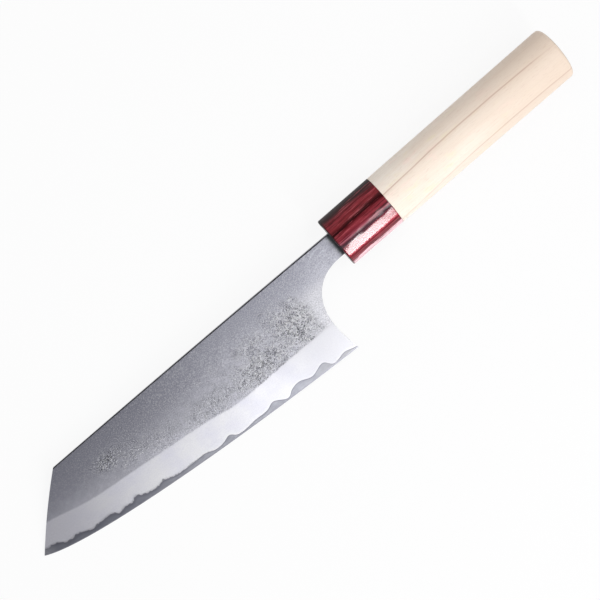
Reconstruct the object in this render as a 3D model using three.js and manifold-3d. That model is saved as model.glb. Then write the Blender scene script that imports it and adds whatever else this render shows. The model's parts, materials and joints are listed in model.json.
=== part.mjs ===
// Bunka kitchen knife: a laminated blade whose stick tang is bedded in an oval wooden handle.
// Millimetres. The knife is shaped along X, from its tip to its butt, with the front of the ferrule at
// X = 0, the handle's axis at Y = Z = 0, the spine toward +Y and the left side of the blade toward +Z.
// At the end it is laid down on its right side, as it rests on a table with Z up.
import * as THREE from "three";
import { mergeVertices, toCreasedNormals } from "three/addons/utils/BufferGeometryUtils.js";
import Module from "manifold-3d";

const wasm = await Module();
wasm.setup();

// Blade outline, measured from the front of the ferrule and from the handle's axis
const tipReach = 188.7;
const tipDrop = 20.1;
const shoulderReach = 158.5;
const shoulderRise = 7.3;
const heelReach = 22.4;
const heelDrop = 41.8;
const neckRise = 5.5;
const neckDrop = 5.8;
const spineBow = 0.6;
const frontBow = 1.3;
const heelFlatRun = 50.4; // how far the edge runs on nearly flat from the heel
const heelFlatRise = 2.5;
const bellyRun = 19.6; // how far the belly swings round before the tip
const bellyFall = 11.1;
const choilScoop = 5.7; // how far the choil cuts in behind the heel
const choilHeight = 25.9;
const neckRun = 3.5; // straight underside of the neck in front of the ferrule
const neckSweep = 13.2;

// Blade thickness, across both sides
const spineAtNeck = 3.4;
const spineAtShoulder = 1.7;
const bevelTopAtHeel = 2.3;
const behindEdge = 0.3;
const edgeThickness = 0.05;
const edgeBevelHeight = 0.6;
const spineEase = 0.45;

// Width of the ground bevel, as [distance from the heel, width above the edge]
const bevelWidths = [
  [0, 15.9],
  [34, 14],
  [58, 12.5],
  [70, 13.8],
  [110, 14.5],
  [135, 14],
  [155, 14.9],
];

// Lamination: the core is a wedge between the claddings, bare below a wavy line along the edge
const coreAtNeck = 1;
const coreAtShoulder = 0.72;
const coreAtEdge = 0.12;
const weldGap = 0.03;

// Crests and hollows of the wavy line, as [distance from the heel, height above the edge]
const coreLine = [
  [0.5, 0.9], [6, 2.1], [13, 0.9], [16.5, 4.3], [24, 2.2], [30, 4], [34.5, 3.1], [38.2, 0.9],
  [44.6, 3.8], [49, 2.1], [56, 1.8], [62.5, 0.9], [66, 1.2], [69, 3.2], [73.5, 1.7], [78, 1.4], [82, 2.6],
  [92, 2.1], [99, 2.1], [104.5, 3.3], [108, 2.3], [115, 2.9], [118, 4.4], [121.5, 2.5], [125, 2.9],
  [128.3, 1.6], [131.5, 3.4], [139, 2.4], [142.2, 1.8], [148.5, 3.2], [154, 2.1], [158.7, 3.8], [164, 2.8],
];

// Tang and the sleeve that beds it
const tangLength = 95;
const tangEndHeight = 5;
const tangEndThickness = 2;
const beddingWall = 0.8;
const beddingEnd = 2; // filled length past the end of the tang
const beddingRecess = 0.4; // how far the sleeve stops short of the ferrule's mouth
const beddingGap = 0.05;

// Handle and ferrule, an oval that is wide from edge to spine
const handleLength = 126.3;
const ferruleLength = 28.5;
const ferruleWidth = 24.7;
const buttWidth = 25.3;
const ovalRatio = 0.775; // thickness as a share of width
const rimEase = 0.7;
const buttEase = 1;
const tenonWidth = 18;
const tenonLength = 20;
const tenonGap = 0.1;
const jointGap = 0.05;

// How the knife lies: the roll that lifts its spine while the belly of the edge touches the table
const restRoll = THREE.MathUtils.degToRad(9.75);

// Finishes
const coreFinish = { color: 0x8d909c, roughness: 0.25, metalness: 1 };
const claddingFinish = { color: 0x96969e, roughness: 0.5, metalness: 1 };
const ferruleFinish = { color: 0x6e1220, roughness: 0.15, metalness: 0 };
const handleFinish = { color: 0xeadfc8, roughness: 0.6, metalness: 0 };
const beddingFinish = { color: 0x241a16, roughness: 0.7, metalness: 0 };

// Facets
const curveSteps = 40;
const waveSteps = 5; // between one crest or hollow and the next
const ovalSteps = 72;
const easeSteps = 4;
const creaseAngle = THREE.MathUtils.degToRad(20);
const overrun = 0.1; // how far a cutting shape passes the outline it trims
const clear = 10; // how far a cutting block stands outside the knife

const tip = new THREE.Vector2(-tipReach, -tipDrop);
const shoulder = new THREE.Vector2(-shoulderReach, shoulderRise);
const heel = new THREE.Vector2(-heelReach, -heelDrop);
const neckTop = new THREE.Vector2(0, neckRise);
const neckFoot = new THREE.Vector2(-neckRun, -neckDrop);
const tangMiddle = (neckRise - neckDrop) / 2;
const tangTop = new THREE.Vector2(tangLength, tangMiddle + tangEndHeight / 2);
const edgeCurve = new THREE.CubicBezierCurve(
  tip,
  new THREE.Vector2(tip.x + bellyRun, tip.y - bellyFall),
  new THREE.Vector2(heel.x - heelFlatRun, heel.y + heelFlatRise),
  heel,
);
const edgePoints = edgeCurve.getPoints(curveSteps);
const spinePoints = bowed(shoulder, neckTop, spineBow).getPoints(curveSteps);
const bevelPoints = aboveEdge(bevelWidths, curveSteps);
const cheek = planeThrough(
  [neckTop, spineAtNeck],
  [shoulder, spineAtShoulder],
  [new THREE.Vector2(heel.x, heel.y + bevelWidths[0][1]), bevelTopAtHeel],
);
const coreFace = planeThrough(
  [neckTop, coreAtNeck],
  [shoulder, coreAtShoulder],
  [edgeCurve.getPoint(0.5), coreAtEdge],
);

// A gentle curve from one point to another, which stands off the straight line by about half the bow.
function bowed(from, to, bow) {
  const along = to.clone().sub(from).normalize();
  const middle = from.clone().add(to).multiplyScalar(0.5);
  middle.add(new THREE.Vector2(-along.y, along.x).multiplyScalar(bow));
  return new THREE.QuadraticBezierCurve(from, middle, to);
}

// The height of a line of points at a place along the knife; its ends carry on level.
function heightAt(points, x) {
  const next = points.findIndex((point) => point.x >= x);
  if (next === 0) return points[0].y;
  if (next < 0) return points[points.length - 1].y;
  const from = points[next - 1];
  const to = points[next];
  return THREE.MathUtils.mapLinear(x, from.x, to.x, from.y, to.y);
}

// A smooth line at given heights above the edge, listed from the heel and returned from the tip.
// It carries on level past both ends of the edge.
function aboveEdge(rows, steps) {
  const run = tipReach - heelReach;
  const kept = rows.filter(([distance]) => distance < run);
  const ended = [[-clear, kept[0][1]], ...kept, [run + clear, kept.at(-1)[1]]];
  const knots = ended.map(([distance, height]) => {
    const x = heel.x - distance;
    return new THREE.Vector3(x, heightAt(edgePoints, x) + height, 0);
  });
  return new THREE.CatmullRomCurve3(knots.reverse()).getPoints(steps);
}

// The plane of half the thickness, through three places where the whole thickness is known.
function planeThrough(...places) {
  const points = places.map(([place, thickness]) => new THREE.Vector3(place.x, place.y, thickness / 2));
  return new THREE.Plane().setFromCoplanarPoints(...points);
}

function planeHeight(plane, x, y) {
  return -(plane.normal.x * x + plane.normal.y * y + plane.constant) / plane.normal.z;
}

// Half the thickness of the unground blade, or of the tang behind it.
function cheekHalf(x, y) {
  const inBlade = planeHeight(cheek, Math.min(x, 0), y);
  return THREE.MathUtils.lerp(inBlade, tangEndThickness / 2, Math.max(x, 0) / tangLength);
}

// The top line of the blade and the tang.
function topAt(x) {
  return heightAt([...spinePoints, tangTop], x);
}

// A closed three.js mesh as a solid that can be cut and joined.
function solidOf(geometry) {
  geometry.deleteAttribute("normal");
  geometry.deleteAttribute("uv");
  const merged = mergeVertices(geometry);
  const corners = merged.index.array;
  const triangles = [];
  for (let at = 0; at < corners.length; at += 3) {
    const [a, b, c] = corners.slice(at, at + 3);
    if (a !== b && b !== c && c !== a) triangles.push(a, b, c);
  }
  const vertProperties = new Float32Array(merged.attributes.position.array);
  const triVerts = new Uint32Array(triangles);
  return new wasm.Manifold(new wasm.Mesh({ numProp: 3, vertProperties, triVerts }));
}

// A named mesh of a finished solid, with its own material.
function meshOf(name, solid, finish) {
  const { vertProperties, triVerts } = solid.getMesh();
  const geometry = new THREE.BufferGeometry();
  geometry.setAttribute("position", new THREE.BufferAttribute(vertProperties, 3));
  geometry.setIndex(new THREE.BufferAttribute(triVerts, 1));
  const material = new THREE.MeshStandardMaterial(finish);
  const mesh = new THREE.Mesh(toCreasedNormals(geometry, creaseAngle), material);
  mesh.name = name;
  return mesh;
}

// A closed skin over rings of points, from -X to +X, each going round from +Y by way of +Z.
function loft(rings) {
  const size = rings[0].length;
  const last = (rings.length - 1) * size;
  const indices = [];
  for (let start = 0; start < last; start += size) {
    for (let corner = 0; corner < size; corner += 1) {
      const here = start + corner;
      const beside = start + ((corner + 1) % size);
      indices.push(here, beside, beside + size, here, beside + size, here + size);
    }
  }
  for (let corner = 1; corner < size - 1; corner += 1) {
    indices.push(0, corner + 1, corner, last, last + corner, last + corner + 1);
  }
  const geometry = new THREE.BufferGeometry().setFromPoints(rings.flat());
  geometry.setIndex(indices);
  return solidOf(geometry);
}

// A ring that is alike on both sides, from [height, half thickness] pairs listed from the top down.
function evenRing(x, pairs) {
  const left = pairs.map(([y, half]) => new THREE.Vector3(x, y, half));
  const right = left.map((point) => new THREE.Vector3(x, point.y, -point.z)).reverse();
  return [...left, ...right];
}

// A flat shape carried through the whole thickness of the blade.
function throughCut(shape) {
  const settings = { depth: 2 * clear, bevelEnabled: false, curveSegments: curveSteps };
  const geometry = new THREE.ExtrudeGeometry(shape, settings);
  return solidOf(geometry.translate(0, 0, -clear));
}

function bladeOutline() {
  const front = bowed(tip, shoulder, frontBow);
  const outline = new THREE.Shape();
  outline.setFromPoints([tangTop, ...spinePoints.toReversed()]);
  outline.quadraticCurveTo(front.v1.x, front.v1.y, tip.x, tip.y);
  outline.bezierCurveTo(edgeCurve.v1.x, edgeCurve.v1.y, edgeCurve.v2.x, edgeCurve.v2.y, heel.x, heel.y);
  outline.bezierCurveTo(
    heel.x - choilScoop,
    heel.y + choilHeight,
    neckFoot.x - neckSweep,
    neckFoot.y,
    neckFoot.x,
    neckFoot.y,
  );
  outline.lineTo(0, -neckDrop);
  outline.lineTo(tangLength, tangMiddle - tangEndHeight / 2);
  return outline;
}

// The ground cross-section: eased spine, tapered cheek, wide bevel and the small bevel at the edge.
function groundSection(x) {
  const top = topAt(x);
  const edge = heightAt(edgePoints, x);
  const bevelTop = heightAt(bevelPoints, x);
  return evenRing(x, [
    [top + overrun, cheekHalf(x, top) - spineEase - overrun],
    [top - spineEase, cheekHalf(x, top - spineEase)],
    [bevelTop, cheekHalf(x, bevelTop)],
    [edge + edgeBevelHeight, behindEdge / 2],
    [edge, edgeThickness / 2],
    [edge - overrun, edgeThickness / 4],
  ]);
}

function wholeBlade() {
  const alongEdge = edgePoints.map((point) => point.x);
  const stations = [tip.x - clear, ...alongEdge, 0, tangLength, tangLength + overrun];
  return throughCut(bladeOutline()).intersect(loft(stations.map(groundSection)));
}

// The wedge of the core between the claddings, down to where it thins out below the edge.
function coreWedge(growth) {
  const { normal, constant } = coreFace;
  const thinHalf = edgeThickness / 2;
  const rings = [tip.x - clear, tangLength + clear].map((x) => {
    const top = shoulderRise + clear;
    const bottom = -(normal.x * x + normal.z * thinHalf + constant) / normal.y;
    return evenRing(x, [
      [top, planeHeight(coreFace, x, top) + growth],
      [bottom, thinHalf + growth],
    ]);
  });
  return loft(rings);
}

// Everything under the wavy line, where the core is bare on both sides.
function bareEdge(growth) {
  const line = aboveEdge(coreLine, coreLine.length * waveSteps).reverse();
  const bottom = -heelDrop - clear;
  const corners = line.map((point) => new THREE.Vector2(point.x, point.y + growth));
  corners.push(new THREE.Vector2(corners.at(-1).x, bottom), new THREE.Vector2(corners[0].x, bottom));
  return throughCut(new THREE.Shape(corners));
}

// Everything to one side of the middle of the blade.
function sideBlock(side) {
  const length = tipReach + tangLength + 2 * clear;
  const height = heelDrop + shoulderRise + 2 * clear;
  const block = new THREE.BoxGeometry(length, height, clear);
  const middleX = (tangLength - tipReach) / 2;
  const middleY = (shoulderRise - heelDrop) / 2;
  return solidOf(block.translate(middleX, middleY, (side * clear) / 2));
}

// A tapering block round the tang, grown on all sides, between two places along the handle.
function tangBlock(from, to, growth) {
  const rings = [from, to].map((x) => {
    const share = x / tangLength;
    const height = THREE.MathUtils.lerp(neckRise + neckDrop, tangEndHeight, share);
    const thickness = THREE.MathUtils.lerp(spineAtNeck, tangEndThickness, share);
    return evenRing(x, [
      [tangMiddle + height / 2 + growth, thickness / 2 + growth],
      [tangMiddle - height / 2 - growth, thickness / 2 + growth],
    ]);
  });
  return loft(rings);
}

// A turned piece on the handle's axis, flattened to an oval, from [place along the axis, radius] pairs.
function ovalTurned(profile) {
  const points = profile.map(([x, radius]) => new THREE.Vector2(radius, x));
  const geometry = new THREE.LatheGeometry(points, ovalSteps);
  return solidOf(geometry.rotateZ(-Math.PI / 2).scale(1, 1, ovalRatio));
}

// A quarter round at the corner of a turned profile, between two angles from the axis.
function quarterRound(x, radius, ease, fromAngle) {
  return Array.from({ length: easeSteps + 1 }, (_, step) => {
    const angle = fromAngle - (step / easeSteps) * (Math.PI / 2);
    return [x + ease * Math.cos(angle), radius + ease * Math.sin(angle)];
  });
}

function ferruleSolid() {
  const radius = ferruleWidth / 2;
  const boreRadius = tenonWidth / 2 + tenonGap;
  const boreFloor = ferruleLength - tenonLength - tenonGap;
  const body = ovalTurned([
    [0, 0],
    ...quarterRound(rimEase, radius - rimEase, rimEase, Math.PI),
    [ferruleLength, radius],
    [ferruleLength, boreRadius],
    [boreFloor, boreRadius],
    [boreFloor, 0],
  ]);
  return body.subtract(tangBlock(-clear, tangLength, beddingWall + beddingGap));
}

function handleSolid() {
  const front = ferruleLength + jointGap;
  const tenonRadius = tenonWidth / 2;
  const buttRadius = buttWidth / 2;
  const body = ovalTurned([
    [ferruleLength - tenonLength, 0],
    [ferruleLength - tenonLength, tenonRadius],
    [front, tenonRadius],
    [front, ferruleWidth / 2],
    ...quarterRound(handleLength - buttEase, buttRadius - buttEase, buttEase, Math.PI / 2),
    [handleLength, 0],
  ]);
  const holeEnd = tangLength + beddingEnd + beddingGap;
  return body.subtract(tangBlock(0, holeEnd, beddingWall + beddingGap));
}

function beddingSolid() {
  const sleeve = tangBlock(beddingRecess, tangLength + beddingEnd, beddingWall);
  return sleeve.subtract(tangBlock(0, tangLength + beddingGap, beddingGap));
}

function buildKnife() {
  const blade = wholeBlade();
  const core = blade.intersect(coreWedge(0).add(bareEdge(0)));
  const claddings = blade.subtract(coreWedge(weldGap)).subtract(bareEdge(weldGap));
  const knife = new THREE.Group();
  knife.add(
    meshOf("core_steel", core, coreFinish),
    meshOf("left_cladding", claddings.intersect(sideBlock(1)), claddingFinish),
    meshOf("right_cladding", claddings.intersect(sideBlock(-1)), claddingFinish),
    meshOf("ferrule", ferruleSolid(), ferruleFinish),
    meshOf("handle", handleSolid(), handleFinish),
    meshOf("tang_bedding", beddingSolid(), beddingFinish),
  );
  return knife;
}

// The pitch at which the blade comes down on the table while the rim of the ferrule rests on it.
function settledPitch(blade) {
  const rolledHeight = (y, z) => y * Math.sin(restRoll) + z * Math.cos(restRoll);
  const radius = ferruleWidth / 2;
  const rimDepth = Math.hypot(radius * Math.sin(restRoll), radius * ovalRatio * Math.cos(restRoll));
  const point = new THREE.Vector3();
  const { position } = blade.geometry.attributes;
  let pitch = Math.PI / 2;
  for (let at = 0; at < position.count; at += 1) {
    point.fromBufferAttribute(position, at);
    if (point.x > -heelReach) continue;
    const rise = rolledHeight(point.y, point.z) + rimDepth;
    pitch = Math.min(pitch, Math.atan2(rise, rimEase - point.x));
  }
  return pitch;
}

// Lays the knife on the table, with the middle of its bounding box's bottom at the origin.
function layDown(knife) {
  knife.rotation.set(restRoll, -settledPitch(knife.getObjectByName("core_steel")), 0, "YXZ");
  knife.updateMatrixWorld(true);
  const box = new THREE.Box3().setFromObject(knife, true);
  const middle = box.getCenter(new THREE.Vector3());
  knife.position.set(-middle.x, -middle.y, -box.min.z);
  return new THREE.Group().add(knife);
}

export default layDown(buildKnife());
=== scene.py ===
import json
import math

import bmesh
import bpy
from mathutils import Matrix, Vector
from mathutils.kdtree import KDTree


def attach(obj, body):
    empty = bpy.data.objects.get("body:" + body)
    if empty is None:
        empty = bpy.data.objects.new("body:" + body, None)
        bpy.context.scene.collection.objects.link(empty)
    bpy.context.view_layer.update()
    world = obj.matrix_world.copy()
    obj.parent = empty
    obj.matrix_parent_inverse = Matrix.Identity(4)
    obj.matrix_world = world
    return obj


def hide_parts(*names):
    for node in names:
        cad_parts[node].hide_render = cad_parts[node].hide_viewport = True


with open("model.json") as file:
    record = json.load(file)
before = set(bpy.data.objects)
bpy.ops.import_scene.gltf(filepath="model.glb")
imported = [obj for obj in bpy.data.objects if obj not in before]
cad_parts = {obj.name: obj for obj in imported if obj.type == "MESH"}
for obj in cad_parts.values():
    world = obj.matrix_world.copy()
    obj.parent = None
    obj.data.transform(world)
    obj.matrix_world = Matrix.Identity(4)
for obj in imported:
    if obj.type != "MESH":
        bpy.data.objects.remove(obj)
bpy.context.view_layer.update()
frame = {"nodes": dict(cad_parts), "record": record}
mm = 0.001
mergeWithin = mm / 1000
mounts = {mount["name"]: mount for mount in frame["record"]["mounts"]}
print("frame loaded:", ", ".join(sorted(frame["nodes"])))

# the knife's own axes: x from tip to butt, y from edge to spine, z out of the left side,
# with the origin in the middle of the ferrule's front
axisX = Vector(mounts["butt_face"]["axis"]).normalized()
axisZ = (Vector(mounts["left_cheek"]["axis"]) - Vector(mounts["right_cheek"]["axis"])).normalized()
axisY = axisZ.cross(axisX)
turned = Matrix((axisX, axisY, axisZ)).transposed().to_4x4()


def extents(nodeName, toOwn):
    points = [toOwn @ vertex.co for vertex in frame["nodes"][nodeName].data.vertices]
    low = Vector(min(point[i] for point in points) for i in range(3))
    high = Vector(max(point[i] for point in points) for i in range(3))
    return low, high


low, high = extents("ferrule", turned.inverted())
mouth = Vector((low.x, (low.y + high.y) / 2, (low.z + high.z) / 2))
knifeToFrame = turned @ Matrix.Translation(mouth)
frameToKnife = knifeToFrame.inverted()


class Socket:  # a node's output, so that shader maths reads as maths
    def __init__(self, paint, output):
        self.paint, self.output = paint, output

    def math(self, operation, *others):
        values = dict(enumerate([self, *others]))
        return self.paint.node("ShaderNodeMath", {"operation": operation}, values)

    def __add__(self, other):
        return self.math("ADD", other)

    def __sub__(self, other):
        return self.math("SUBTRACT", other)

    def __rsub__(self, other):
        return (self * -1).math("ADD", other)

    def __mul__(self, other):
        return self.math("MULTIPLY", other)

    def __truediv__(self, other):
        return self.math("DIVIDE", other)

    __radd__, __rmul__ = __add__, __mul__

    def most(self, other):
        return self.math("MAXIMUM", other)

    def clamp(self):
        return self.most(0).math("MINIMUM", 1)

    def step(self, start, end):  # 0 before start, 1 after end, smooth between
        values = {"Value": self, "From Min": start, "From Max": end}
        settings = {"interpolation_type": "SMOOTHSTEP"}
        return self.paint.node("ShaderNodeMapRange", settings, values)

    def fade(self, start, end):  # the other way round
        return 1 - self.step(start, end)

    def span(self, comesIn, goesOut):  # 1 between two soft ends
        return self.step(*comesIn) * self.fade(*goesOut)

    def swing(self, size):  # noise, which runs from 0 to 1, made to swing about 0
        return (self - 0.5) * size

    def toward(self, other, share):
        return self * (1 - share) + other * share


class Paint:  # one material and its nodes
    def __init__(self, name, owner=None):
        self.material = owner or bpy.data.materials.new(name)
        self.material.use_nodes = True
        self.tree = self.material.node_tree
        self.tree.nodes.clear()

    def node(self, kind, settings, values, output=0):
        made = self.tree.nodes.new(kind)
        for key, value in settings.items():
            if key == "stops":
                self.setStops(made.color_ramp, value)
            elif key == "points":
                self.setPoints(made.mapping, value)
            else:
                setattr(made, key, value)
        for key, value in values.items():
            if isinstance(value, Socket):
                self.tree.links.new(value.output, made.inputs[key])
            else:
                made.inputs[key].default_value = value
        return Socket(self, made.outputs[output]) if made.outputs else None

    def setStops(self, ramp, stops):
        while len(ramp.elements) < len(stops):
            ramp.elements.new(1)
        for element, (place, colour) in zip(ramp.elements, stops):
            element.position = place
            element.color = colour

    def setPoints(self, mapping, points):
        curve = mapping.curves[0]
        for place, height in points[1:-1]:
            curve.points.new(place, height)
        curve.points[0].location = points[0]
        curve.points[len(points) - 1].location = points[-1]
        for point in curve.points:
            point.handle_type = "VECTOR"
        mapping.update()

    def where(self):  # the place on the knife, in millimetres along its own axes
        point = self.node("ShaderNodeTexCoord", {}, {}, "Object")
        values = {
            "Vector": point,
            "Location": frameToKnife.to_translation() / mm,
            "Rotation": frameToKnife.to_euler(),
            "Scale": (1 / mm, 1 / mm, 1 / mm),
        }
        return self.node("ShaderNodeMapping", {"vector_type": "POINT"}, values)

    def axes(self, vector):
        made = self.node("ShaderNodeSeparateXYZ", {}, {0: vector})
        return made, *(Socket(self, made.output.node.outputs[i]) for i in (1, 2))

    def noise(self, vector, scale, detail=3, roughness=0.5, distortion=0):
        values = {"Vector": vector, "Scale": scale, "Detail": detail, "Roughness": roughness}
        values["Distortion"] = distortion
        return self.node("ShaderNodeTexNoise", {}, values)

    def streaks(self, vector, scale, detail=3, roughness=0.5, turn=(0, 0, 0)):  # drawn-out noise
        values = {"Vector": vector, "Scale": scale, "Rotation": turn}
        drawn = self.node("ShaderNodeMapping", {"vector_type": "POINT"}, values)
        return self.noise(drawn, 1, detail, roughness)

    def mix(self, factor, first, second):  # between two colours, which are the Mix node's sockets 6, 7 and 2
        values = {0: factor, 6: first, 7: second}
        return self.node("ShaderNodeMix", {"data_type": "RGBA"}, values, 2)

    def tones(self, tone, finish):  # from a finish's dark colour to its light one
        return self.mix(tone.step(*finish["toneRange"]), shade(finish["dark"]), shade(finish["light"]))

    def tint(self, colour, mask, layer):  # lays a second colour, by its share, over what the mask covers
        second, share = layer
        return self.mix(mask * share, colour, shade(second))

    def bump(self, height):  # height in millimetres
        values = {"Height": height, "Distance": mm, "Strength": 1}
        return self.node("ShaderNodeBump", {}, values)

    def seen(self):  # 1 for what the camera sees, straight or in a reflection
        rays = ("Is Camera Ray", "Is Glossy Ray", "Is Transmission Ray")
        camera, glossy, transmission = (self.node("ShaderNodeLightPath", {}, {}, ray) for ray in rays)
        return (camera + glossy + transmission).clamp()

    def above(self, line, x, y):  # mm from one of the blade's lines towards the spine
        start, end = bladeLines["ends"]
        low, high = bladeLines["heights"]
        points = [((px - start) / (end - start), (py - low) / (high - low)) for px, py in line]
        place = ((x - start) / (end - start)).clamp()
        height = self.node("ShaderNodeFloatCurve", {"points": points}, {"Value": place})
        return y - (height * (high - low) + low)

    def finish(self, values):
        shader = self.node("ShaderNodeBsdfPrincipled", {}, values)
        self.node("ShaderNodeOutputMaterial", {}, {"Surface": shader})
        return self.material


def shade(value):  # a linear colour from one written as it looks on screen, 0 to 255
    return tuple(pow((part / 255 + 0.055) / 1.055, 2.4) for part in value) + (1,)


def ownCopy(nodeName):  # a merged copy of a solid, in the knife's own axes
    shape = bmesh.new()
    shape.from_mesh(frame["nodes"][nodeName].data)
    bmesh.ops.transform(shape, matrix=frameToKnife, verts=shape.verts)
    bmesh.ops.remove_doubles(shape, verts=shape.verts, dist=mergeWithin)
    shape.normal_update()
    return shape


bladeLines = {  # the lines along a side of the blade, read from the solids
    "ends": (-187, -22.9),  # mm along the knife
    "heights": (-42, -9),
    "waveTop": -17.2,  # no point of the wavy line lies higher
    "join": 0.15,  # mm from the core within which a cladding's outer corner lies on the wavy line
    "flat": 0.004,  # mm off the cheek's plane that still counts as cheek
    "outward": 0.9,  # faces turned further than this from the side are spine, front and choil
}


def cheekPlane(mountName):  # a point on a cheek and its normal, in the knife's own axes
    mount = mounts[mountName]
    return frameToKnife @ Vector(mount["pos_m"]), frameToKnife.to_3x3() @ Vector(mount["axis"])


def findZone(face, onCheek, cheekNormal):
    if abs(face.normal.z) < bladeLines["outward"]:
        return "wall"
    offCheek = max(abs((vertex.co - onCheek).dot(cheekNormal)) for vertex in face.verts)
    return "bevel" if offCheek > bladeLines["flat"] * mm else "cheek"


def findLines():
    core = ownCopy("core_steel")
    cladding = ownCopy("left_cladding")
    near = KDTree(len(core.verts))
    for vertex in core.verts:
        near.insert(vertex.co, vertex.index)
    near.balance()
    onCheek, cheekNormal = cheekPlane("left_cheek")
    corners = {"cheek": set(), "bevel": set()}
    for face in cladding.faces:
        if face.normal.z > bladeLines["outward"]:
            corners[findZone(face, onCheek, cheekNormal)].update(face.verts)
    ground = corners["cheek"] & corners["bevel"]
    joined = {vertex for vertex in corners["bevel"] if near.find(vertex.co)[2] < bladeLines["join"] * mm}
    start, end = bladeLines["ends"]
    lines = []
    for found, highest in ((ground, bladeLines["heights"][1]), (joined, bladeLines["waveTop"])):
        places = sorted((vertex.co.x / mm, vertex.co.y / mm) for vertex in found)
        line = [place for place in places if start < place[0] < end and place[1] < highest]
        lines.append([(start, line[0][1]), *line, (end, line[-1][1])])
        print("blade line of", len(line), "points")
    core.free()
    cladding.free()
    return lines


grindingLine, wavyLine = findLines()

# in the finishes below, a colour that stands in a pair with a number is laid on by that share;
# a reach is in mm along the knife, a height in mm across it, and a scale is per mm
coreEdge = {
    "light": (186, 187, 196),
    "dark": (152, 153, 164),
    "toneRange": (0.3, 0.7),  # of the noise, from dark to light
    "cloudScale": 0.25,
    "scratchScale": (0.25, 6, 1),
    "scratchTurn": (0, 0, 0.12),
    "scratchShare": 0.5,
    "scratchDepth": 0.001,  # mm
    "tip": ((126, 128, 140), 0.8),
    "tipReach": (-155, -95),
    "tipEnd": ((186, 187, 196), 0.5),  # lighter again at the very tip
    "tipEndReach": (-187, -181),
    "heel": ((156, 156, 160), 1),
    "heelReach": (-56, -26),
    "outline": ((110, 110, 122), 0.55),  # just under the wavy line
    "outlineStart": 0.05,  # mm under it
    "outlineDepth": 0.75,
    "outlineMore": 1.25,  # added to its depth near the tip
    "outlineReach": (-150, -105),
    "facet": (150, 151, 160),  # the last half millimetre, honed to the edge
    "facetShare": 0.9,
    "facetLoss": 0.6,  # of that share near the tip
    "facetHalf": (0.125, 0.155),  # mm from the middle of the blade to where the facet ends
    "roughness": 0.32,
    "scratchRough": 0.05,
    "facetRough": 0.15,
}


def makeCoreEdge():
    paint = Paint("coreEdge")
    point = paint.where()
    x, y, z = paint.axes(point)
    cloud = paint.noise(point, coreEdge["cloudScale"])
    scratch = paint.streaks(point, coreEdge["scratchScale"], roughness=0.6, turn=coreEdge["scratchTurn"])
    colour = paint.tones(cloud.toward(scratch, coreEdge["scratchShare"]), coreEdge)
    colour = paint.tint(colour, x.fade(*coreEdge["tipReach"]), coreEdge["tip"])
    colour = paint.tint(colour, x.step(*coreEdge["heelReach"]), coreEdge["heel"])
    nearTip = x.fade(*coreEdge["outlineReach"])
    lowest = nearTip * -coreEdge["outlineMore"] - coreEdge["outlineDepth"]
    outline = paint.above(wavyLine, x, y).step(lowest, -coreEdge["outlineStart"])
    colour = paint.tint(colour, outline, coreEdge["outline"])
    colour = paint.tint(colour, x.fade(*coreEdge["tipEndReach"]), coreEdge["tipEnd"])
    facet = z.math("ABSOLUTE").fade(*coreEdge["facetHalf"])
    facetShare = coreEdge["facetShare"] - nearTip * coreEdge["facetLoss"]
    colour = paint.mix(facet * facetShare, colour, shade(coreEdge["facet"]))
    roughness = coreEdge["roughness"] + scratch.swing(coreEdge["scratchRough"])
    roughness = roughness + facet * coreEdge["facetRough"]
    return paint.finish({
        "Base Color": colour, "Metallic": 1, "Roughness": roughness,
        "Normal": paint.bump(scratch * coreEdge["scratchDepth"]),
    })


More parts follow.
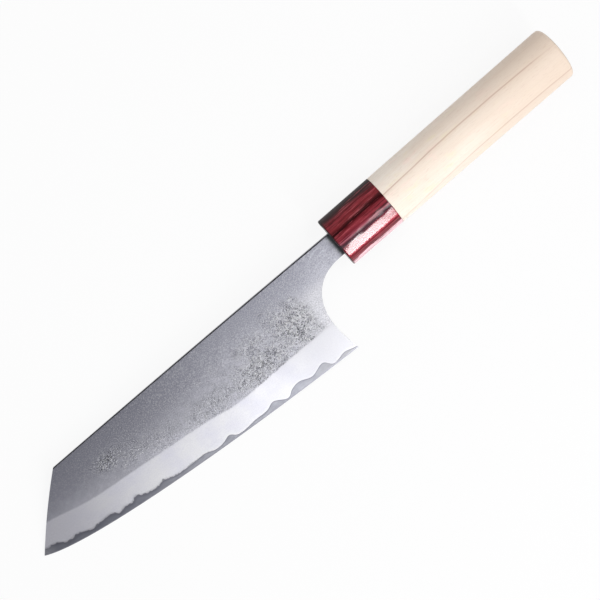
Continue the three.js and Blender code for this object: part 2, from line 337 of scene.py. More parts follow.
pearSkin = {  # the cheek of the blade
    "light": (203, 203, 213),
    "dark": (165, 165, 176),
    "toneRange": (0.32, 0.68),
    "mottle": 0.3,  # share of the slow, ragged part in the grain
    "cloudScale": 0.09,
    "raggedScale": 0.35,
    "spineLine": (5.5, 0.0114),  # height of the spine by the ferrule, and its rise towards the tip
    "spineShade": ((149, 150, 161), 0.75),  # painted shade: the cheek darker towards the spine
    "spineDepth": (-22, 2),  # a depth is in mm from the spine
    "farShade": ((100, 100, 115), 0.4),  # painted shade, more so towards the tip
    "farDepth": (-25, -10),
    "farReach": (-125, -45),
    "heelTopShade": ((149, 150, 161), 0.45),  # and painted shade over the heel
    "heelTopDepth": (-17, -4),
    "heelTopReach": ((-75, -45), (-26, -16)),
    "lowSideLight": ((226, 226, 238), 0.5),  # painted light: brighter above the grinding line
    "lowHeight": (0, 7),  # mm above that line
    "lowReach": ((-140, -110), (-48, -36)),
    "choilSide": ((212, 212, 216), 0.6),  # and along the choil
    "choilReach": (-46, -25),
    "choilHeight": (-12, -4),
    "grainSize": 0.46,  # mm
    "grainDepth": 0.004,
    "grainDark": 0.36,
    "grainLight": 0.34,
    "darkGrains": (0.5, 0.72),  # of the fine noise
    "lightGrains": (0.28, 0.5),
    "grainTip": 0.4,  # share of the grain at the tip
    "grainReach": (-165, -125),
    "grainSpine": 0.3,  # share lost along the spine
    "grainSpineDepth": (-14, -2),
    "patches": [  # x, y, half sizes and strength of the places where the forge scale bit deeper
        (-38, -15, 13, 14, 1),
        (-58, -20, 24, 10, 0.9),
        (-90, -19, 22, 7.5, 0.55),
        (-112, -15.5, 13, 6.5, 0.45),
        (-139, -6, 8.5, 4.5, 0.9),
        (-126, -12, 11, 4, 0.5),
        (-57, -10, 12, 6, 0.65),
        (-31, -16, 7, 7, 0.8),
    ],
    "patchRagged": 1.6,
    "patchFade": (0.35, 1.25),  # in half sizes from a patch's middle
    "wornCloud": (0.45, 0.75),  # faintly bitten places elsewhere
    "wornShare": 0.3,
    "wornDepth": (-14, -3),
    "wornEnd": (-29, -25),
    "heelReach": (-130, -95),  # pits turn crisper from the tip to the heel
    # dark of the pits, and of the worms' painted shade
    "pitAndShade": ((38, 41, 46), 0.95),
    "pitSize": 0.62,
    "pitDepth": 0.035,
    "pitBite": (0.55, 0.61),
    "pitShare": 0.95,
    "wormSize": 1.7,  # short lines of painted relief, a painted shade with a painted highlight beside it
    "wormShade": ((0.42, 0.45), (0.48, 0.5)),
    "wormGlint": ((0.5, 0.515), (0.535, 0.57)),
    "wormLeast": 0.3,  # they come and go, and never below this share
    "wormBreaks": (0.42, 0.58),
    "veinSize": 2.6,  # the curved ridges that forge scale leaves
    "veinPull": 0.35,
    "ridgeWidth": (0.006, 0.045),
    # painted highlight along the ridges, by this share
    "ridgeGlint": 0.8,
    # white of the light grains, of the specks between the pits and of the painted glints
    "speckAndGlint": (252, 252, 252),
    "speckBite": (0.35, 0.42),
    "speckShare": 0.7,
    "speckAndGlintTint": (0.13, 0.38),  # share at the tip, and what the heel adds
    "speckRise": 0.4,
    "scaled": (158, 159, 167),  # ground colour between the pits
    "scaledTint": (0.1, 0.42),
    "neckFiling": ((218, 221, 228), 0.42),  # file strokes that follow the neck into the choil
    "neckStrokes": (0.53, 0.7),
    "neckScale": (0.12, 1.7, 0.4),
    "neckReach": (-24, -9),
    "neckStart": -4,
    "neckCurve": 0.011,
    "scale": ((58, 66, 66), 0.9),  # heat scale on the neck beside the ferrule, and the ferrule's painted shadow there
    "scaleShadowBand": (-2.4, -0.5),
    "scaleShadowRagged": 0.8,
    "roughness": 0.46,
    "grainRough": 0.08,
    "pitRough": 0.12,
    "metal": 0.97,
}
groundBevel = {
    "light": (251, 251, 255),
    "dark": (239, 239, 250),
    "toneRange": (0.3, 0.7),
    "scratchScale": (0.3, 4, 1),
    "scratchTurn": (0, 0, 0.5),
    "scratchShare": 0.3,
    "scratchDepth": 0.0012,
    # painted shade on the bevel by the heel
    "heelShade": ((199, 199, 204), 1),
    "heelReach": (-74, -24),
    # painted shade on the bevel towards the tip
    "tipShade": ((218, 217, 228), 0.7),
    "tipReach": (-180, -130),
    "haze": ((150, 150, 166), 0.1),
    "hazeGrains": (0.35, 0.7),
    "halo": (255, 255, 255),  # a thin bright band along the wavy line
    "haloHeight": (0.3, 1.4),  # mm above that line
    "haloReach": (-130, -100),
    "haloShare": 0.5,
    "haloLoss": 0.4,  # of that share towards the heel
    "haloLossReach": (-110, -40),
    "lineShade": ((110, 110, 122), 0.4),  # a dim band there instead near the tip
    "lineShadeHeight": (0, 1.5),
    "lineShadeReach": (-135, -100),
    "frayed": ((94, 97, 110), 0.75),  # where the core's colour reaches past the line near the tip
    "frayedReach": (-135, -85),
    "fray": 3.5,  # mm by which it does
    "frayScale": (0.7, 0.3, 0.3),
    "frayMiddle": 0.47,
    "fraySoft": 0.3,
    "lineLift": 0.3,  # mm by which the bevel's finish stands over the grinding line
    "lineWander": 0.4,  # mm by which pits bite into it
    "lineRagged": 0.6,  # mm by which it wavers
    "lineSoft": 1,  # mm over which it passes
    "heelLift": 0.2,  # more by the heel
    "heelLiftReach": (-62, -54),
    "tipSoft": 0.2,  # the line fades towards the tip
    "tipSoftReach": (-185, -120),
    "heelCrisp": 0.3,  # and is crisper by the heel
    "heelCrispReach": (-62, -46),
    "roughness": 0.31,
    "cloudRough": 0.04,
}


class BladePaint(Paint):  # with the places and noises that cheek and bevel share
    def __init__(self, name):
        super().__init__(name)
        self.point = self.where()
        self.x, self.y, self.z = self.axes(self.point)
        spineHeight, spineRise = pearSkin["spineLine"]
        self.toSpine = self.y + self.x * spineRise - spineHeight  # 0 along the spine, less below it
        self.toGrind = self.above(grindingLine, self.x, self.y)
        self.overWave = self.above(wavyLine, self.x, self.y)
        self.grain = self.noise(self.point, 1 / pearSkin["grainSize"], detail=2, roughness=0.6)
        self.fine = self.noise(self.point, 1 / pearSkin["grainSize"], detail=1)
        self.cloud = self.noise(self.point, pearSkin["cloudScale"])
        self.ragged = self.noise(self.point, pearSkin["raggedScale"], roughness=0.6)


def wornPlaces(paint):
    x, y = paint.x, paint.y
    worn = paint.cloud.step(*pearSkin["wornCloud"]) * pearSkin["wornShare"]
    worn = worn * paint.toSpine.fade(*pearSkin["wornDepth"])
    for patchX, patchY, halfX, halfY, strength in pearSkin["patches"]:
        across = (x - patchX) / halfX
        up = (y - patchY) / halfY
        reach = (across * across + up * up).math("SQRT") + paint.ragged.swing(pearSkin["patchRagged"])
        worn = worn.most(reach.fade(*pearSkin["patchFade"]) * strength)
    return worn * x.fade(*pearSkin["wornEnd"])


def forgePits(paint, worn):
    point = paint.point
    vein = paint.noise(point, 1 / pearSkin["veinSize"])
    bite = paint.noise(point, 1 / pearSkin["pitSize"], detail=2, roughness=0.6, distortion=1.5)
    bite = bite + vein.swing(pearSkin["veinPull"])
    ridge = vein.swing(1).math("ABSOLUTE").fade(*pearSkin["ridgeWidth"]) * worn
    worm = paint.noise(point, 1 / pearSkin["wormSize"], roughness=0.6, distortion=0.8)
    least = pearSkin["wormLeast"]
    broken = least + paint.ragged.step(*pearSkin["wormBreaks"]) * (1 - least)
    # painted relief: shade on one side of each worm, highlight on the other
    wormShade = worm.span(*pearSkin["wormShade"]) * broken
    wormGlint = worm.span(*pearSkin["wormGlint"]) * broken
    pitAndShade = (bite.step(*pearSkin["pitBite"]) * pearSkin["pitShare"]).most(wormShade) * worn
    speckAndGlint = (bite.fade(*pearSkin["speckBite"]) * pearSkin["speckShare"]).most(wormGlint)
    # painted highlight along the ridges
    speckAndGlint = speckAndGlint.most(ridge * pearSkin["ridgeGlint"]) * worn
    return pitAndShade, speckAndGlint, ridge


def cheekColour(paint, worn, pitAndShade, speckAndGlint):
    x, y, z, toSpine = paint.x, paint.y, paint.z, paint.toSpine
    colour = paint.tones(paint.grain.toward(paint.ragged, pearSkin["mottle"]), pearSkin)
    # painted shade towards the spine
    colour = paint.tint(colour, toSpine.step(*pearSkin["spineDepth"]), pearSkin["spineShade"])
    # painted shade towards the tip
    far = toSpine.step(*pearSkin["farDepth"]) * x.fade(*pearSkin["farReach"])
    colour = paint.tint(colour, far, pearSkin["farShade"])
    # painted shade over the top of the heel
    heelTopShade = toSpine.step(*pearSkin["heelTopDepth"]) * x.span(*pearSkin["heelTopReach"])
    colour = paint.tint(colour, heelTopShade, pearSkin["heelTopShade"])
    # painted light above the grinding line
    low = paint.toGrind.fade(*pearSkin["lowHeight"]) * x.span(*pearSkin["lowReach"])
    colour = paint.tint(colour, low, pearSkin["lowSideLight"])
    alongChoil = x.step(*pearSkin["choilReach"]) * y.fade(*pearSkin["choilHeight"])
    colour = paint.tint(colour, alongChoil, pearSkin["choilSide"])

    nearHeel = x.step(*pearSkin["heelReach"])
    atTip, added = pearSkin["scaledTint"]
    colour = paint.mix(worn * (atTip + nearHeel * added), colour, shade(pearSkin["scaled"]))
    byTip = pearSkin["grainTip"]
    alongSpine = toSpine.step(*pearSkin["grainSpineDepth"]) * pearSkin["grainSpine"]
    grainShare = byTip + x.step(*pearSkin["grainReach"]) * (1 - byTip - alongSpine) + worn * (1 - nearHeel)
    grainDark = paint.fine.step(*pearSkin["darkGrains"]) * grainShare * pearSkin["grainDark"]
    grainLight = paint.fine.fade(*pearSkin["lightGrains"]) * grainShare * pearSkin["grainLight"]
    pitColour, pitTint = pearSkin["pitAndShade"]
    colour = paint.mix(grainDark.most(pitAndShade * pitTint).clamp(), colour, shade(pitColour))
    # white specks, with the painted glints of worms and ridges
    atTip, added = pearSkin["speckAndGlintTint"]
    speckAndGlintTint = speckAndGlint * (atTip + nearHeel * added)
    colour = paint.mix(grainLight.most(speckAndGlintTint).clamp(), colour, shade(pearSkin["speckAndGlint"]))

    behind = x - pearSkin["neckStart"]
    alongNeck = y + behind * behind * pearSkin["neckCurve"]
    scaleX, scaleY, scaleZ = pearSkin["neckScale"]
    bent = paint.node("ShaderNodeCombineXYZ", {}, {0: x * scaleX, 1: alongNeck * scaleY, 2: z * scaleZ})
    stroke = paint.noise(bent, 1, roughness=0.6).step(*pearSkin["neckStrokes"])
    colour = paint.tint(colour, stroke * x.step(*pearSkin["neckReach"]), pearSkin["neckFiling"])
    # heat scale and the ferrule's painted shadow on the neck
    scale = (x + paint.ragged.swing(pearSkin["scaleShadowRagged"])).step(*pearSkin["scaleShadowBand"])
    return paint.tint(colour, scale, pearSkin["scale"])


def bevelColour(paint, scratch):
    x, overWave = paint.x, paint.overWave
    colour = paint.tones(paint.cloud.toward(scratch, groundBevel["scratchShare"]), groundBevel)
    # painted shade by the heel
    colour = paint.tint(colour, x.step(*groundBevel["heelReach"]), groundBevel["heelShade"])
    # painted shade towards the tip
    colour = paint.tint(colour, x.fade(*groundBevel["tipReach"]), groundBevel["tipShade"])
    colour = paint.tint(colour, paint.fine.step(*groundBevel["hazeGrains"]), groundBevel["haze"])
    haloShare = groundBevel["haloShare"] - x.step(*groundBevel["haloLossReach"]) * groundBevel["haloLoss"]
    halo = overWave.fade(*groundBevel["haloHeight"]) * x.step(*groundBevel["haloReach"]) * haloShare
    colour = paint.mix(halo, colour, shade(groundBevel["halo"]))
    dim = overWave.fade(*groundBevel["lineShadeHeight"]) * x.fade(*groundBevel["lineShadeReach"])
    colour = paint.tint(colour, dim, groundBevel["lineShade"])
    tooth = paint.streaks(paint.point, groundBevel["frayScale"], roughness=0.6)
    past = overWave - (tooth - groundBevel["frayMiddle"]) * groundBevel["fray"]
    frayed = past.fade(0, groundBevel["fraySoft"]) * x.fade(*groundBevel["frayedReach"])
    return paint.tint(colour, frayed, groundBevel["frayed"])


def makeBladeSkin():
    paint = BladePaint("pearSkinAndBevel")
    x = paint.x
    worn = wornPlaces(paint)
    pitAndShade, speckAndGlint, ridge = forgePits(paint, worn)
    scratch = paint.streaks(
        paint.point, groundBevel["scratchScale"], roughness=0.6, turn=groundBevel["scratchTurn"],
    )
    cheek = cheekColour(paint, worn, pitAndShade, speckAndGlint)
    bevel = bevelColour(paint, scratch)

    wander = pitAndShade * groundBevel["lineWander"] + paint.ragged.swing(groundBevel["lineRagged"])
    wander = wander - x.step(*groundBevel["heelLiftReach"]) * groundBevel["heelLift"]
    soft = groundBevel["lineSoft"] + x.fade(*groundBevel["tipSoftReach"]) * groundBevel["tipSoft"]
    soft = soft - x.step(*groundBevel["heelCrispReach"]) * groundBevel["heelCrisp"]
    ground = ((paint.toGrind + wander - groundBevel["lineLift"]) / soft).fade(-0.5, 0.5)

    relief = speckAndGlint * pearSkin["speckRise"] - pitAndShade + ridge
    height = paint.grain * pearSkin["grainDepth"] + relief * pearSkin["pitDepth"]
    height = height.toward(scratch * groundBevel["scratchDepth"], ground)
    roughness = pearSkin["roughness"] + paint.grain * pearSkin["grainRough"] + pitAndShade * pearSkin["pitRough"]
    bevelRoughness = groundBevel["roughness"] + paint.cloud.swing(groundBevel["cloudRough"])
    return paint.finish({
        "Base Color": paint.mix(ground, cheek, bevel), "Metallic": pearSkin["metal"],
        "Roughness": roughness.toward(bevelRoughness, ground), "Normal": paint.bump(height),
    })


bladeRim = {
    "light": (112, 112, 120),  # spine and front, painted dark as a painted shade on these walls
    "dark": (58, 58, 64),
    "toneRange": (0.3, 0.7),
    "choil": {"light": (196, 196, 204), "dark": (150, 150, 158), "toneRange": (0.3, 0.7)},  # filed clean
    "choilReach": (-48, -36),
    "choilHeight": (-3, 1),
    "cloudScale": 0.2,
    "cloudShare": 0.3,
    "lineScale": (0.3, 0.3, 7),
    "lineDepth": 0.004,
    "lineRough": 0.15,
    "roughness": 0.4,
    "metal": 0.95,
}


def makeBladeRim():
    paint = Paint("bladeRim")
    point = paint.where()
    x, y = paint.axes(point)[:2]
    line = paint.streaks(point, bladeRim["lineScale"], roughness=0.6)
    cloud = paint.noise(point, bladeRim["cloudScale"], detail=2)
    tone = line.toward(cloud, bladeRim["cloudShare"])
    choil = x.step(*bladeRim["choilReach"]) * y.fade(*bladeRim["choilHeight"])
    # painted shade on spine and front, filed clean at the choil
    colour = paint.mix(choil, paint.tones(tone, bladeRim), paint.tones(tone, bladeRim["choil"]))
    roughness = bladeRim["roughness"] + line.swing(bladeRim["lineRough"])
    return paint.finish({
        "Base Color": colour, "Metallic": bladeRim["metal"], "Roughness": roughness,
        "Normal": paint.bump(line * bladeRim["lineDepth"]),
    })


laminatedWood = {  # the ferrule
    "sheets": [  # height over the handle's axis, and colour, of the dyed sheets from the lower edge up
        (-12.3, (96, 16, 32)), (-11.6, (124, 28, 44)), (-11.1, (132, 34, 52)), (-9.95, (98, 18, 32)),
        (-9.5, (158, 44, 60)), (-9.1, (106, 8, 24)), (-8.7, (126, 14, 34)), (-8.1, (196, 66, 84)),
        (-6.4, (176, 52, 70)), (-4.6, (150, 40, 60)), (-3.5, (84, 22, 42)), (-2.8, (56, 14, 32)),
        (-2.2, (96, 30, 48)), (-1.6, (168, 90, 104)), (-1.1, (146, 62, 76)), (-0.4, (120, 36, 48)),
        (0.5, (140, 51, 61)), (1.3, (136, 48, 57)), (2.2, (104, 28, 36)), (2.8, (60, 6, 12)),
        (3.5, (50, 4, 8)), (4.2, (78, 9, 16)), (4.8, (104, 22, 30)), (5.4, (132, 38, 46)),
        (6.2, (114, 20, 30)), (7.1, (150, 50, 60)), (7.9, (98, 18, 28)), (8.6, (116, 36, 44)),
        (9.4, (64, 10, 16)), (10.4, (36, 6, 10)), (12.3, (24, 4, 8)),
    ],
    "reach": 13,  # half the height that the stack covers
    "rise": -1.2,
    "drift": 0.9,  # how far a sheet wanders along its length
    "driftScale": (0.075, 0.16, 0.05),
    "tableReflection": (252, 204, 213),  # painted reflection of the white table, a pale band along the upper part of the edge side
    "reflectionPlace": (-11.4, -11.0),
    "reflectionSide": (0.9, 1.6),
    "fibreScale": (0.1, 2.2, 0.9),
    "fibrePull": 1.4,  # mm by which fibres fray the sheets
    "fibreDark": ((24, 6, 10), 0.62),
    "darkFibres": (0.52, 0.64),
    "fibreLight": ((206, 104, 112), 0.45),
    "lightFibres": (0.33, 0.43),
    "fibreDepth": 0.006,
    "fibreRough": 0.06,
    # painted shade along the front rim, less along the rear rim
    "rim": ((24, 6, 10), 0.8),
    "frontRimShade": (0.35, 0.95),
    "rearRim": 0.2,
    "rearShadeShare": 0.6,
    "waveScale": (0.11, 0.13, 0.13),
    "waveDepth": 0.35,  # slow unevenness left by hand polishing
    "waveHeight": (-5.2, -1.5),
    "roughness": 0.11,
    "backDull": 0.5,  # roughness gained along the back, where hands wear the polish
    "backHeight": (8.8, 10.6),
}


def makeLaminatedWood(length):
    paint = Paint("laminatedWood")
    point = paint.where()
    x, y, z = paint.axes(point)
    drift = paint.streaks(point, laminatedWood["driftScale"], detail=2).swing(2 * laminatedWood["drift"])
    fibre = paint.streaks(point, laminatedWood["fibreScale"], detail=4, roughness=0.62)
    height = y + laminatedWood["rise"] + drift + fibre.swing(laminatedWood["fibrePull"])
    reach = laminatedWood["reach"]
    stops = [(place / reach / 2 + 0.5, shade(colour)) for place, colour in laminatedWood["sheets"]]
    colour = paint.node("ShaderNodeValToRGB", {"stops": stops}, {"Fac": height / (2 * reach) + 0.5})
    # painted reflection of the table along the edge side
    tableReflection = height.fade(*laminatedWood["reflectionPlace"]) * z.step(*laminatedWood["reflectionSide"])
    colour = paint.mix(tableReflection, colour, shade(laminatedWood["tableReflection"]))
    colour = paint.tint(colour, fibre.step(*laminatedWood["darkFibres"]), laminatedWood["fibreDark"])
    colour = paint.tint(colour, fibre.fade(*laminatedWood["lightFibres"]), laminatedWood["fibreLight"])
    # painted shade at both rims
    rear = x.step(length - laminatedWood["rearRim"], length) * laminatedWood["rearShadeShare"]
    colour = paint.tint(colour, x.fade(*laminatedWood["frontRimShade"]).most(rear), laminatedWood["rim"])
    roughness = laminatedWood["roughness"] + fibre.swing(laminatedWood["fibreRough"])
    roughness = roughness + y.step(*laminatedWood["backHeight"]) * laminatedWood["backDull"]
    wave = paint.streaks(point, laminatedWood["waveScale"], detail=1).swing(laminatedWood["waveDepth"])
    relief = fibre * laminatedWood["fibreDepth"] + wave * y.step(*laminatedWood["waveHeight"])
    return paint.finish({"Base Color": colour, "Roughness": roughness, "Normal": paint.bump(relief)})


paleWood = {  # the handle
    "light": (251, 241, 229),
    "dark": (241, 224, 208),
    "toneRange": (0.3, 0.7),
    "cloudScale": (0.025, 0.16, 0.16),
    "fibreScale": (0.05, 3, 3),
    "fibreShare": 0.35,
    "fibreDepth": 0.005,
    "patchScale": (0.12, 0.3, 0.3),
    "pink": ((252, 228, 216), 0.6),
    "pinkPatches": (0.55, 0.75),
    "yellow": ((245, 232, 204), 0.6),
    "yellowPatches": (0.25, 0.45),
    "buttSide": ((232, 212, 194), 0.85),
    "buttReach": (35, 125),
    "line": (196, 160, 142),
    "lines": [  # a growth line's height and where along the handle, its curve, where it fades, its strengths
        (5.15, 83, 2150, (106, 124), (1, 0.2)),
        (-8.4, 92, 1600, (20, 110), (0.35, 0.8)),
    ],
    "lineWidth": 0.5,
    "lineLeast": 0.35,  # strength where the fibres leave it faintest
    "lineFibre": 0.7,
    "lineShadow": ((-1.8, 0), (0, 0.3)),  # mm from the line
    "shadowShare": 0.12,
    "ringRise": -0.6,
    "ringSway": 0.9,
    "swayScale": (0.035, 0.02, 0.02),
    "pith": 120,  # mm, how gently the rings curve
    "faintStep": 3.4,  # mm between the faint rings
    "faintRange": (0.75, 1),
    "faintFibres": (0.3, 0.7),
    "faintShare": 0.12,
    "poreScale": (0.35, 3.2, 3.2),
    "poreRange": (0.58, 0.68),
    "pore": ((196, 160, 142), 0.18),
    "poreDepth": 0.01,
    "poreRough": 0.2,
    "roughness": 0.44,
    "endGrain": (196, 180, 160),  # the butt, darker than the sides
    "endDepth": 0.9,  # mm over which it passes into them
    "endFibre": 0.5,
}


def makePaleWood(length):
    paint = Paint("paleWood")
    point = paint.where()
    x, y, z = paint.axes(point)
    fibre = paint.streaks(point, paleWood["fibreScale"], detail=4, roughness=0.6)
    cloud = paint.streaks(point, paleWood["cloudScale"])
    colour = paint.tones(cloud.toward(fibre, paleWood["fibreShare"]), paleWood)
    patch = paint.streaks(point, paleWood["patchScale"])
    colour = paint.tint(colour, patch.step(*paleWood["pinkPatches"]), paleWood["pink"])
    colour = paint.tint(colour, patch.fade(*paleWood["yellowPatches"]), paleWood["yellow"])
    colour = paint.tint(colour, x.step(*paleWood["buttReach"]), paleWood["buttSide"])

    sway = paint.streaks(point, paleWood["swayScale"], detail=2).swing(paleWood["ringSway"])
    height = y + z * z / paleWood["pith"] + paleWood["ringRise"] + sway
    faint = (height / paleWood["faintStep"]).math("FRACT").step(*paleWood["faintRange"])
    late = faint * paleWood["faintShare"] * fibre.step(*paleWood["faintFibres"])
    for lineHeight, middle, curve, fadeReach, (first, last) in paleWood["lines"]:
        along = x - middle
        off = height - lineHeight + along * along / curve
        strength = first + x.step(*fadeReach) * (last - first)
        line = (off.math("ABSOLUTE") / paleWood["lineWidth"]).fade(0, 1)
        line = line * (paleWood["lineLeast"] + fibre * paleWood["lineFibre"])
        shadow = off.span(*paleWood["lineShadow"]) * paleWood["shadowShare"]
        late = late.most(line.most(shadow) * strength)
    colour = paint.mix(late.clamp(), colour, shade(paleWood["line"]))

    pore = paint.streaks(point, paleWood["poreScale"], detail=2).step(*paleWood["poreRange"])
    colour = paint.tint(colour, pore, paleWood["pore"])
    byFibre = 1 - paleWood["endFibre"] + fibre * paleWood["endFibre"]
    endGrain = x.step(length - paleWood["endDepth"], length) * byFibre
    colour = paint.mix(endGrain, colour, shade(paleWood["endGrain"]))
    relief = fibre * paleWood["fibreDepth"] - pore * paleWood["poreDepth"]
    return paint.finish({
        "Base Color": colour, "Roughness": paleWood["roughness"] + pore * paleWood["poreRough"],
        "Normal": paint.bump(relief),
    })


beddingResin = {
    "light": (58, 48, 42),
    "dark": (26, 20, 18),
    "toneRange": (0.35, 0.65),
    "cloudScale": 1.4,
    "cloudDepth": 0.05,
    "cloudRough": 0.2,
    "roughness": 0.55,
}


def makeBeddingResin():
    paint = Paint("beddingResin")
    cloud = paint.noise(paint.where(), beddingResin["cloudScale"], roughness=0.6)
    return paint.finish({
        "Base Color": paint.tones(cloud, beddingResin),
        "Roughness": beddingResin["roughness"] + cloud * beddingResin["cloudRough"],
        "Normal": paint.bump(cloud * beddingResin["cloudDepth"]),
    })


def finishPiece(shape, name, materials, nodeName):
    bmesh.ops.transform(shape, matrix=knifeToFrame, verts=shape.verts)
    mesh = bpy.data.meshes.new(name)
    shape.to_mesh(mesh)
    shape.free()
    for material in materials:
        mesh.materials.append(material)
    piece = bpy.data.objects.new(name, mesh)
    bpy.context.scene.collection.objects.link(piece)
    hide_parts(nodeName)
    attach(piece, "root")
    print("piece", name, len(mesh.polygons), "faces")


blade = {"claddingCrease": 0.3, "coreCrease": 0.12}  # radians past which an edge looks sharp


def makeCladding(name, nodeName, mountName):
    shape = ownCopy(nodeName)
    onCheek, cheekNormal = cheekPlane(mountName)
    zones = {}
    for face in shape.faces:
        face.smooth = True
        zones[face] = findZone(face, onCheek, cheekNormal)
        face.material_index = int(zones[face] == "wall")
    for edge in shape.edges:
        kinds = {zones[face] for face in edge.link_faces}
        edge.smooth = len(kinds) == 1 and edge.calc_face_angle(0) < blade["claddingCrease"]
    finishPiece(shape, name, [bladeSkin, rimFinish], nodeName)


def makeCore():
    shape = ownCopy("core_steel")
    for face in shape.faces:
        face.smooth = True
        face.material_index = int(abs(face.normal.z) < bladeLines["outward"])
    for edge in shape.edges:
        kinds = {face.material_index for face in edge.link_faces}
        edge.smooth = len(kinds) == 1 and edge.calc_face_angle(0) < blade["coreCrease"]
    finishPiece(shape, "coreSteel", [makeCoreEdge(), rimFinish], "core_steel")


bladeSkin = makeBladeSkin()
rimFinish = makeBladeRim()
makeCladding("leftCladding", "left_cladding", "left_cheek")
makeCladding("rightCladding", "right_cladding", "right_cheek")
makeCore()


def ring(shape, x, low, high, segments, square=False):  # a loop across the knife, an oval or a box's outline
    known = set(shape.edges)
    if square:
        made = bmesh.ops.create_circle(shape, segments=4, radius=math.sqrt(0.5))
        bmesh.ops.rotate(shape, verts=made["verts"], matrix=Matrix.Rotation(math.pi / 4, 3, "Z"))
        sides = [edge for edge in shape.edges if edge not in known]
        bmesh.ops.subdivide_edges(shape, edges=sides, cuts=segments // 4 - 1)
    else:
        bmesh.ops.create_circle(shape, segments=segments, radius=0.5)
    edges = [edge for edge in shape.edges if edge not in known]
    verts = list({vertex for edge in edges for vertex in edge.verts})
    size = high - low
    middle = (high + low) / 2
    across = Matrix(((0, 0, 1, x), (size.y, 0, 0, middle.y), (0, size.z, 0, middle.z), (0, 0, 0, 1)))
    bmesh.ops.transform(shape, matrix=across, verts=verts)
    return edges


def bevelRim(shape, rim, width, steps):
    rim = [edge for edge in rim if edge.is_valid]
    bmesh.ops.bevel(
        shape, geom=rim, offset=width * mm, segments=steps, profile=0.5, affect="EDGES", material=-1,
    )


def smoothBody(shape, loops, crease):  # a loop close to each rim keeps the long sides' shading straight
    for x in loops:
        everything = shape.verts[:] + shape.edges[:] + shape.faces[:]
        bmesh.ops.bisect_plane(
            shape, geom=everything, plane_co=(x, 0, 0), plane_no=(1, 0, 0), dist=mergeWithin / 10,
        )
    bmesh.ops.recalc_face_normals(shape, faces=shape.faces)
    for face in shape.faces:
        face.smooth = True
    for edge in shape.edges:
        edge.smooth = edge.calc_face_angle(0) < crease


fitting = {  # mm
    "inset": 0.01,  # keeps ferrule and handle inside the solids
    "slotGap": 0.05,  # round the tang's bedding
    "joint": 0.05,  # between ferrule and handle
}
ferrule = {
    "segments": 128,
    "rim": 0.7,  # mm
    "rimSteps": 5,
    "rearRim": 0.06,
    "rearSteps": 2,
    "loop": 0.25,
    "crease": 0.5,  # radians
}


def makeFerrule(low, high, slotLow, slotHigh):
    shape = bmesh.new()
    segments = ferrule["segments"]
    front = ring(shape, low.x, low, high, segments)
    rear = ring(shape, high.x, low, high, segments)
    frontSlot = ring(shape, low.x, slotLow, slotHigh, segments, True)
    rearSlot = ring(shape, high.x, slotLow, slotHigh, segments, True)
    for first, second in ((front, rear), (front, frontSlot), (frontSlot, rearSlot), (rear, rearSlot)):
        bmesh.ops.bridge_loops(shape, edges=first + second)
    bevelRim(shape, front, ferrule["rim"], ferrule["rimSteps"])
    bevelRim(shape, rear, ferrule["rearRim"], ferrule["rearSteps"])
    frontLoop = low.x + (ferrule["rim"] + ferrule["loop"]) * mm
    rearLoop = high.x - (ferrule["rearRim"] + ferrule["loop"]) * mm
    smoothBody(shape, [frontLoop, rearLoop], ferrule["crease"])
    finish = makeLaminatedWood((high.x - low.x) / mm)
    finishPiece(shape, "ferruleCollar", [finish], "ferrule")


handle = {
    "segments": 128,
    "rim": 0.06,  # mm
    "rimSteps": 2,
    "butt": 1.7,
    "buttSteps": 7,
    "holeEnd": 0.2,  # behind the tang's bedding
    "loop": 0.25,
    "crease": 0.5,  # radians
}


def makeHandle(frontX, frontLow, frontHigh, buttLow, buttHigh, slotLow, slotHigh):
    shape = bmesh.new()
    segments = handle["segments"]
    holeX = slotHigh.x + handle["holeEnd"] * mm
    front = ring(shape, frontX, frontLow, frontHigh, segments)
    rear = ring(shape, buttHigh.x, buttLow, buttHigh, segments)
    hole = ring(shape, frontX, slotLow, slotHigh, segments, True)
    holeEnd = ring(shape, holeX, slotLow, slotHigh, segments, True)
    for first, second in ((front, rear), (front, hole), (hole, holeEnd)):
        bmesh.ops.bridge_loops(shape, edges=first + second)
    bmesh.ops.holes_fill(shape, edges=rear, sides=0)
    bmesh.ops.holes_fill(shape, edges=holeEnd, sides=0)
    bevelRim(shape, rear, handle["butt"], handle["buttSteps"])
    bevelRim(shape, front, handle["rim"], handle["rimSteps"])
    frontLoop = frontX + (handle["rim"] + handle["loop"]) * mm
    buttLoop = buttHigh.x - (handle["butt"] + handle["loop"]) * mm
    smoothBody(shape, [frontLoop, buttLoop], handle["crease"])
    finish = makePaleWood(buttHigh.x / mm)
    finishPiece(shape, "handleBody", [finish], "handle")


ferruleLow, ferruleHigh = extents("ferrule", frameToKnife)
handleLow, handleHigh = extents("handle", frameToKnife)
slotLow, slotHigh = extents("tang_bedding", frameToKnife)
inset = Vector((0, fitting["inset"], fitting["inset"])) * mm
gap = Vector((0, fitting["slotGap"], fitting["slotGap"])) * mm
ferruleLow, ferruleHigh = ferruleLow + inset, ferruleHigh - inset
handleLow, handleHigh = handleLow + inset, handleHigh - inset
slotLow, slotHigh = slotLow - gap, slotHigh + gap
jointX = ferruleHigh.x + fitting["joint"] * mm
makeFerrule(ferruleLow, ferruleHigh, slotLow, slotHigh)
makeHandle(jointX, ferruleLow, ferruleHigh, handleLow, handleHigh, slotLow, slotHigh)

bedding = frame["nodes"]["tang_bedding"]
bedding.data.materials.clear()
bedding.data.materials.append(makeBeddingResin())
print("bedding finished")

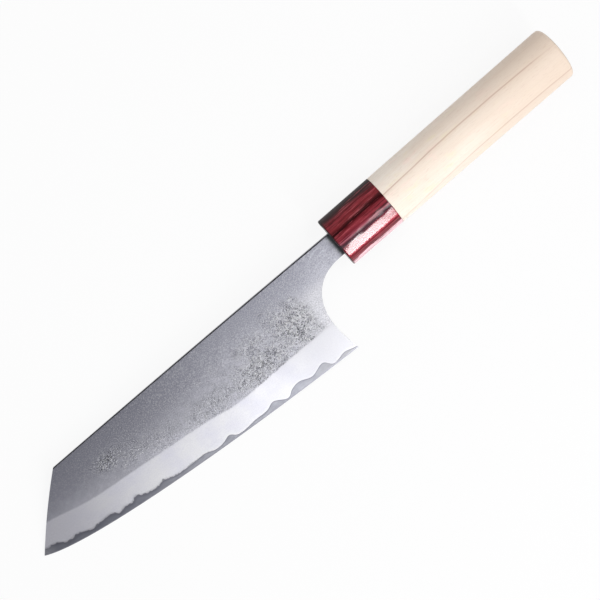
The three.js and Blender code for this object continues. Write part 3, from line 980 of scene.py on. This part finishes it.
stage = {
    "floorSize": 60,
    "floorColour": (0.84, 0.84, 0.85, 1),
    "floorWhite": 0.89,  # share of plain white where the floor is seen
    "white": (1, 1, 1, 1),
    "skyDim": 0.33,  # over the tip
    "skyBright": 0.66,  # over the butt
    "skyTurn": 0.7,  # how gradually one passes into the other
    "skyBack": 0.45,  # share lost behind the spine
    "skyBackEdge": (-0.1, 0.8),
    "skyHole": 0.85,  # and straight overhead
    "skyHoleEdge": (0.86, 0.99),  # cosines of where that starts and is full
    "lampTarget": (0.03, 0, 0.01),
}
lamps = {  # place and size in metres, and whether the lamp shows in the polish
    "upperPanel": {"place": (0.233, -0.17, 0.59), "size": (0.43, 0.18), "power": 1.12, "gloss": True},
    "sidePanel": {"place": (-0.14, -0.36, 0.56), "size": (0.36, 0.07), "power": 0.12, "gloss": True},
    "keyStrip": {"place": (0.065, -0.608, 0.43), "size": (0.075, 0.46), "power": 2.3, "gloss": True},
    "softFill": {"place": (-0.12, 0.3, 0.5), "size": (0.7, 0.6), "power": 1.05, "gloss": False},
}


def makeFloor():
    shape = bmesh.new()
    bmesh.ops.create_grid(shape, x_segments=1, y_segments=1, size=stage["floorSize"] / 2)
    mesh = bpy.data.meshes.new("floor")
    shape.to_mesh(mesh)
    shape.free()
    floor = bpy.data.objects.new("floor", mesh)
    bpy.context.scene.collection.objects.link(floor)
    paint = Paint("floor")
    diffuse = paint.node("ShaderNodeBsdfDiffuse", {}, {"Color": stage["floorColour"]})
    white = paint.node("ShaderNodeEmission", {}, {"Color": stage["white"], "Strength": 1})
    seen = paint.seen() * stage["floorWhite"]
    both = paint.node("ShaderNodeMixShader", {}, {0: seen, 1: diffuse, 2: white})
    paint.node("ShaderNodeOutputMaterial", {}, {"Surface": both})
    mesh.materials.append(paint.material)


def makeSky():
    world = bpy.data.worlds.new("studio")
    bpy.context.scene.world = world
    paint = Paint("studio", world)
    direction = paint.node("ShaderNodeTexCoord", {}, {}, "Generated")
    x, y, z = paint.axes(direction)
    side = x.step(-stage["skyTurn"], stage["skyTurn"])
    strength = side * (stage["skyBright"] - stage["skyDim"]) + stage["skyDim"]
    strength = strength * (1 - y.step(*stage["skyBackEdge"]) * stage["skyBack"])
    strength = strength * (1 - z.step(*stage["skyHoleEdge"]) * stage["skyHole"])
    back = paint.node("ShaderNodeBackground", {}, {"Color": stage["white"], "Strength": strength})
    paint.node("ShaderNodeOutputWorld", {}, {"Surface": back})


def makeLamp(name, lamp):
    data = bpy.data.lights.new(name, "AREA")
    data.shape = "RECTANGLE"
    data.size, data.size_y = lamp["size"]
    data.energy = lamp["power"]
    made = bpy.data.objects.new(name, data)
    made.location = lamp["place"]
    away = made.location - Vector(stage["lampTarget"])
    made.rotation_euler = away.to_track_quat("Z", "Y").to_euler()
    made.visible_camera = False
    made.visible_glossy = lamp["gloss"]
    bpy.context.scene.collection.objects.link(made)


makeFloor()
makeSky()
for lampName, lamp in lamps.items():
    makeLamp(lampName, lamp)
print("stage set")

view = {
    "height": 0.52,  # metres above the table
    "offset": (-28.07, -8.49),  # mm from the ferrule's mouth to the point straight below the camera
    "turn": -41.016,  # degrees
    "lens": 70.03,  # mm
    "sensor": 36,
}


def makeCamera():
    data = bpy.data.cameras.new("camera")
    data.lens = view["lens"]
    data.sensor_width = view["sensor"]
    camera = bpy.data.objects.new("camera", data)
    start = knifeToFrame.to_translation()
    camera.location = (start.x + view["offset"][0] * mm, start.y + view["offset"][1] * mm, view["height"])
    camera.rotation_euler = (0, 0, math.radians(view["turn"]))
    bpy.context.scene.collection.objects.link(camera)
    bpy.context.scene.camera = camera


makeCamera()
bpy.context.scene.view_settings.view_transform = "Standard"
